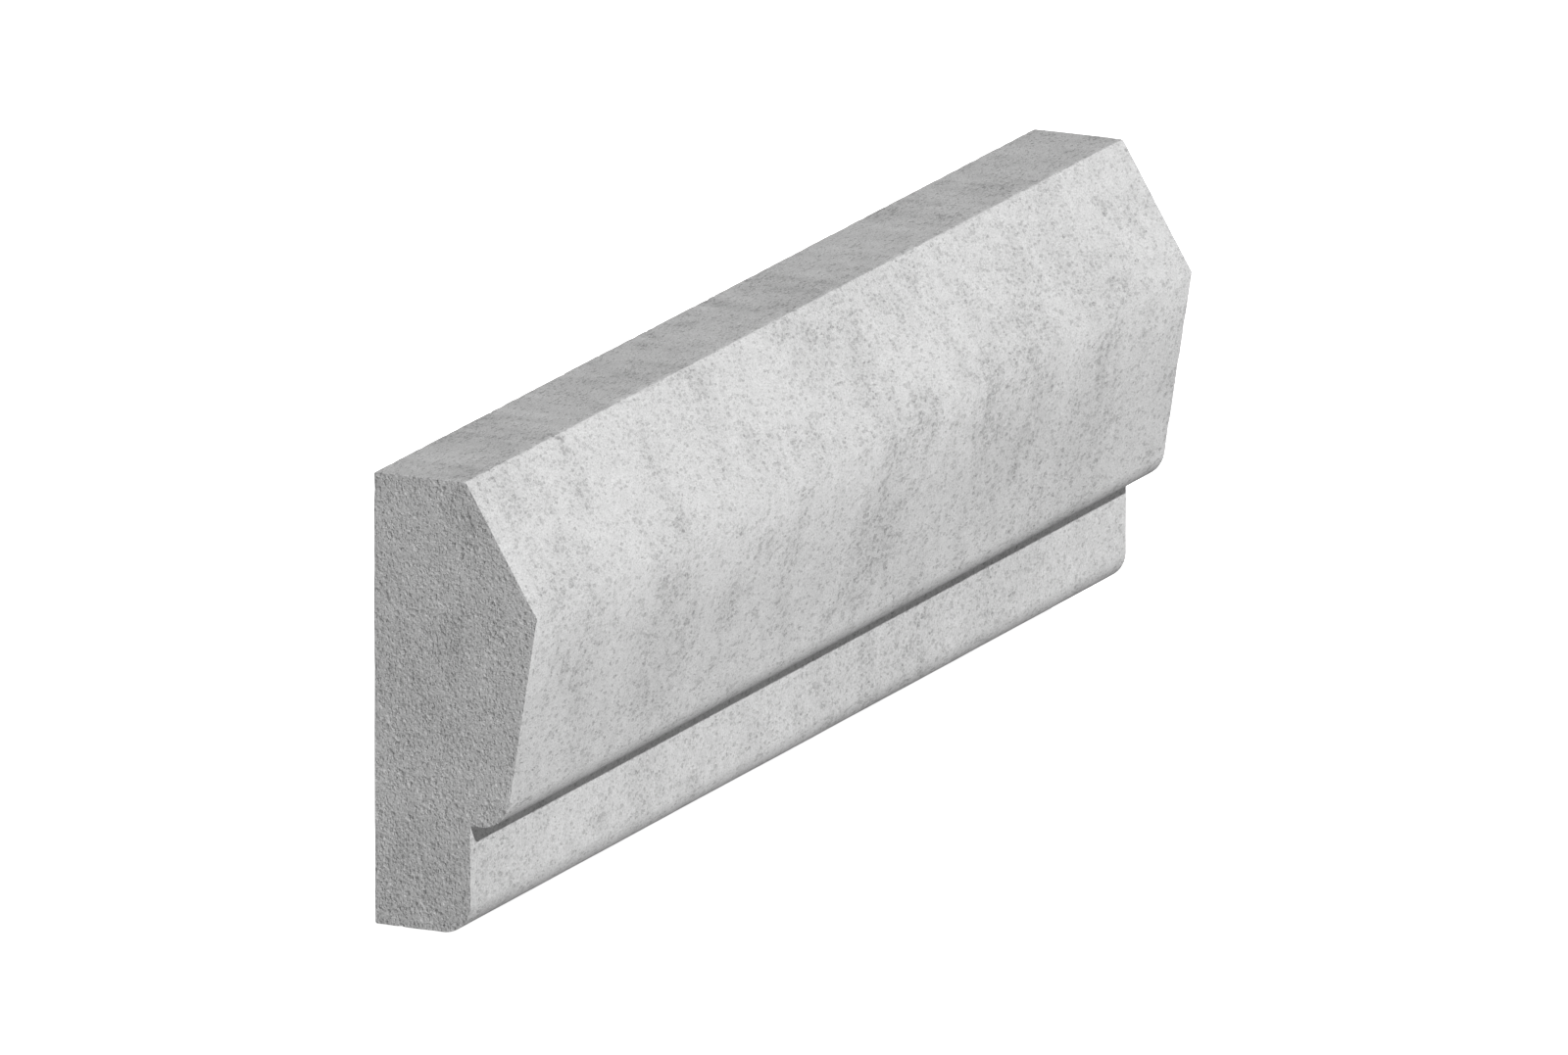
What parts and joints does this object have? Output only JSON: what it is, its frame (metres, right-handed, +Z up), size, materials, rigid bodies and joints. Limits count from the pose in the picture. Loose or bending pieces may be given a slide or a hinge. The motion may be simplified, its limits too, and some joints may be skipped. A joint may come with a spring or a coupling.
{
  "type": "concrete kerb stone",
  "caption": "Straight precast concrete kerb stone with a sloped upper face, a rounded overhanging nose and a narrower foot that paving butts against.",
  "frame": {"origin": "centre of the flat back that the stone lies on, at the bottom of the bounding box", "axes": "+X along the stone, +Y from the foot to the top, +Z up out of the flat back"},
  "size_m": [1, 0.3, 0.1159],
  "materials": {
    "cast_concrete": "matt, as cast"
  },
  "bodies": {
    "root": {"kerb_stone": "cast_concrete"}
  },
  "joints": []
}
